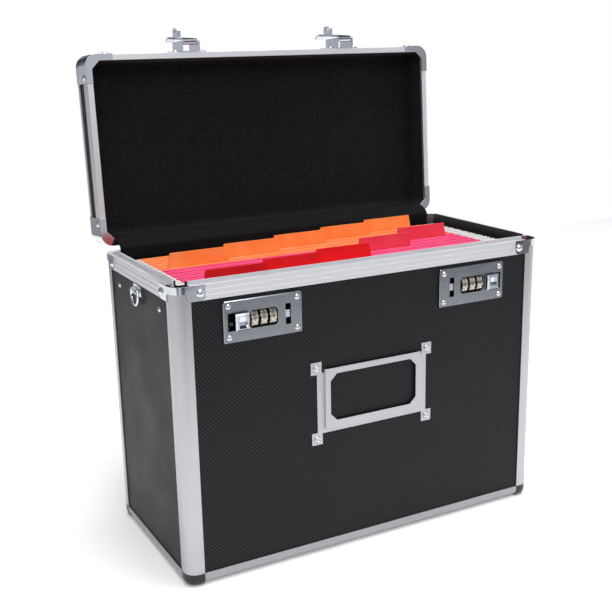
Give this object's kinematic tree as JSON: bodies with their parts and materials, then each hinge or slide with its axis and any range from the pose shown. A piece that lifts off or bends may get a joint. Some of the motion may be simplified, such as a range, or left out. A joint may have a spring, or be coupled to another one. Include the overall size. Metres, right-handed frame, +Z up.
{
  "type": "document box",
  "caption": "Aluminium-framed file case: hinged lid standing open, swinging hasps over combination locks, label frame, strap rings, carry handle, and hanging folders on rails.",
  "frame": {"origin": "middle of the case's footprint, in the plane its feet stand on", "axes": "+X to the right seen from the front (the locks' side), +Y to the back (the hinges' side), +Z up"},
  "size_m": [0.3588, 0.2344, 0.4387],
  "materials": {
    "laminated_board": "charcoal plastic-faced board, fine diamond emboss",
    "felt_lining": "black felt",
    "hinge_cloth": "black coated cloth",
    "satin_aluminium": "satin anodised",
    "moulded_plastic": "satin black, moulded",
    "polished_steel": "bright chrome plate",
    "rivet_steel": "nickel plate",
    "label_metal": "satin pressed sheet",
    "lock_steel": "nickel plate",
    "lock_case_steel": "blackened",
    "spring_steel": "bare wire",
    "dial_metal": "nickel with dark figures",
    "hook_steel": "white coated strip",
    "pink_card": "folded pink card",
    "orange_card": "folded orange card",
    "red_tab_card": "red card",
    "pink_tab_card": "pink card",
    "orange_tab_card": "orange card",
    "hinge_steel": "zinc plate",
    "hasp_steel": "bright nickel plate",
    "handle_plastic": "satin black, moulded",
    "handle_bracket_steel": "bright nickel plate"
  },
  "bodies": {
    "case": {"front_panel": "laminated_board", "back_panel": "laminated_board", "left_panel": "laminated_board", "right_panel": "laminated_board", "bottom_panel": "laminated_board", "body_liner": "felt_lining", "corner_posts": "satin_aluminium", "bottom_rails": "satin_aluminium", "corner_feet": "moulded_plastic", "top_rims": "satin_aluminium", "top_corner_brackets": "polished_steel", "frame_rivets": "rivet_steel", "label_frame": "label_metal", "label_rivets": "rivet_steel", "left_lock_plate": "lock_steel", "right_lock_plate": "lock_steel", "left_lock_case": "lock_case_steel", "right_lock_case": "lock_case_steel", "lock_rivets": "rivet_steel", "dial_axles": "lock_case_steel", "left_button_spring": "spring_steel", "right_button_spring": "spring_steel", "file_rails": "satin_aluminium", "ring_brackets": "polished_steel", "folder_hooks": "hook_steel", "orange_folders": "orange_card", "pink_folders": "pink_card", "red_index_cards": "red_tab_card", "pink_index_cards": "pink_tab_card", "orange_index_cards": "orange_tab_card", "hinge_cover_lower": "hinge_cloth", "body_hinge_leaves": "hinge_steel", "hinge_pins": "hinge_steel"},
    "lid": {"lid_top_panel": "laminated_board", "lid_walls": "laminated_board", "lid_rims": "satin_aluminium", "lid_edge_trims": "satin_aluminium", "lid_corners": "polished_steel", "lid_liner": "felt_lining", "lid_rivets": "rivet_steel", "lid_hinge_leaves": "hinge_steel", "hinge_cover_upper": "hinge_cloth", "hasp_bases": "hasp_steel", "hasp_pins": "hasp_steel", "handle_brackets": "handle_bracket_steel"},
    "left_hasp": {"left_hasp_arm": "hasp_steel"},
    "right_hasp": {"right_hasp_arm": "hasp_steel"},
    "left_dial_wheel_1": {"left_dial_1": "dial_metal"},
    "left_dial_wheel_2": {"left_dial_2": "dial_metal"},
    "left_dial_wheel_3": {"left_dial_3": "dial_metal"},
    "right_dial_wheel_1": {"right_dial_1": "dial_metal"},
    "right_dial_wheel_2": {"right_dial_2": "dial_metal"},
    "right_dial_wheel_3": {"right_dial_3": "dial_metal"},
    "left_button": {"left_release_button": "lock_steel"},
    "right_button": {"right_release_button": "lock_steel"},
    "left_ring": {"left_d_ring": "polished_steel"},
    "right_ring": {"right_d_ring": "polished_steel"},
    "handle": {"carry_handle": "handle_plastic"}
  },
  "joints": [
    {"name": "lid_hinge", "type": "hinge", "parent": "case", "child": "lid", "pos_m": [0, 0.086, 0.25], "axis": [1, 0, 0], "range_deg": [0, 93.6]},
    {"name": "left_hasp_hinge", "type": "hinge", "parent": "lid", "child": "left_hasp", "pos_m": [-0.0795, 0.09607, 0.42592], "axis": [1, 0, 0], "range_deg": [0, 174]},
    {"name": "right_hasp_hinge", "type": "hinge", "parent": "lid", "child": "right_hasp", "pos_m": [0.0795, 0.09607, 0.42592], "axis": [1, 0, 0], "range_deg": [0, 174]},
    {"name": "left_dial_1_turn", "type": "hinge", "parent": "case", "child": "left_dial_wheel_1", "pos_m": [-0.109, -0.0758, 0.2173], "axis": [1, 0, 0], "continuous": true},
    {"name": "left_dial_2_turn", "type": "hinge", "parent": "case", "child": "left_dial_wheel_2", "pos_m": [-0.101, -0.0758, 0.2173], "axis": [1, 0, 0], "continuous": true},
    {"name": "left_dial_3_turn", "type": "hinge", "parent": "case", "child": "left_dial_wheel_3", "pos_m": [-0.093, -0.0758, 0.2173], "axis": [1, 0, 0], "continuous": true},
    {"name": "right_dial_1_turn", "type": "hinge", "parent": "case", "child": "right_dial_wheel_1", "pos_m": [0.093, -0.0758, 0.2173], "axis": [1, 0, 0], "continuous": true},
    {"name": "right_dial_2_turn", "type": "hinge", "parent": "case", "child": "right_dial_wheel_2", "pos_m": [0.101, -0.0758, 0.2173], "axis": [1, 0, 0], "continuous": true},
    {"name": "right_dial_3_turn", "type": "hinge", "parent": "case", "child": "right_dial_wheel_3", "pos_m": [0.109, -0.0758, 0.2173], "axis": [1, 0, 0], "continuous": true},
    {"name": "left_button_slide", "type": "slide", "parent": "case", "child": "left_button", "axis": [-1, 0, 0], "range_m": [0, 0.0046], "stiffness_N_per_m": 300, "springref_m": -0.003, "deforming": ["left_button_spring"]},
    {"name": "right_button_slide", "type": "slide", "parent": "case", "child": "right_button", "axis": [1, 0, 0], "range_m": [0, 0.0046], "stiffness_N_per_m": 300, "springref_m": -0.003, "deforming": ["right_button_spring"]},
    {"name": "left_ring_hinge", "type": "hinge", "parent": "case", "child": "left_ring", "pos_m": [-0.177, 0, 0.232], "axis": [0, 1, 0], "range_deg": [0, 170]},
    {"name": "right_ring_hinge", "type": "hinge", "parent": "case", "child": "right_ring", "pos_m": [0.177, 0, 0.232], "axis": [0, -1, 0], "range_deg": [0, 170]},
    {"name": "handle_hinge", "type": "hinge", "parent": "lid", "child": "handle", "pos_m": [0, 0.12823, 0.33351], "axis": [1, 0, 0], "range_deg": [-3.6, 174]}
  ]
}
